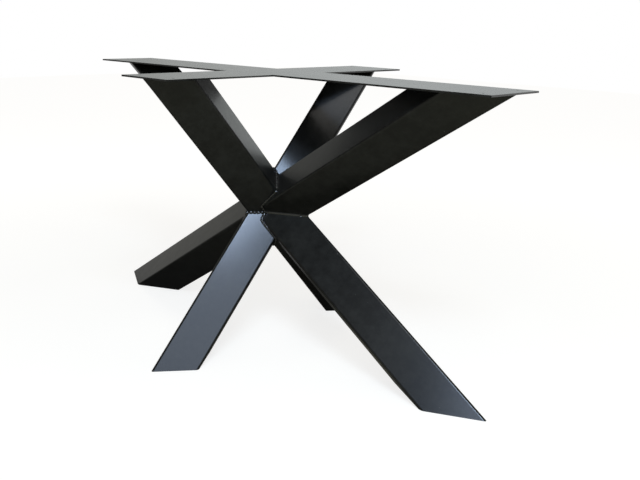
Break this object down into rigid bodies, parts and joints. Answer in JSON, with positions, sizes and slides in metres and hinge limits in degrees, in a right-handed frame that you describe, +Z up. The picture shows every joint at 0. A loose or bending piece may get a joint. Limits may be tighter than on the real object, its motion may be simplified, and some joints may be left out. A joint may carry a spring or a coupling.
{
  "type": "diamond table base",
  "caption": "Welded black steel table base: sloping square tubes set corner-up cross at a waist and carry a flat cross of strips for a table top.",
  "frame": {"origin": "on the floor, in the middle of the base, straight below the waist where the legs meet", "axes": "+X along the longer arms, +Y along the shorter arms, +Z up to the table top"},
  "size_m": [1.4, 0.81, 0.72],
  "materials": {
    "powder_coat": "black satin powder coat"
  },
  "bodies": {
    "root": {"long_top_strip": "powder_coat", "short_top_strip_front": "powder_coat", "short_top_strip_back": "powder_coat", "upper_leg_right": "powder_coat", "upper_leg_left": "powder_coat", "upper_leg_front": "powder_coat", "upper_leg_back": "powder_coat", "lower_leg_right": "powder_coat", "lower_leg_left": "powder_coat", "lower_leg_front": "powder_coat", "lower_leg_back": "powder_coat", "foot_plate_right": "powder_coat", "foot_plate_left": "powder_coat", "foot_plate_front": "powder_coat", "foot_plate_back": "powder_coat"}
  },
  "joints": []
}
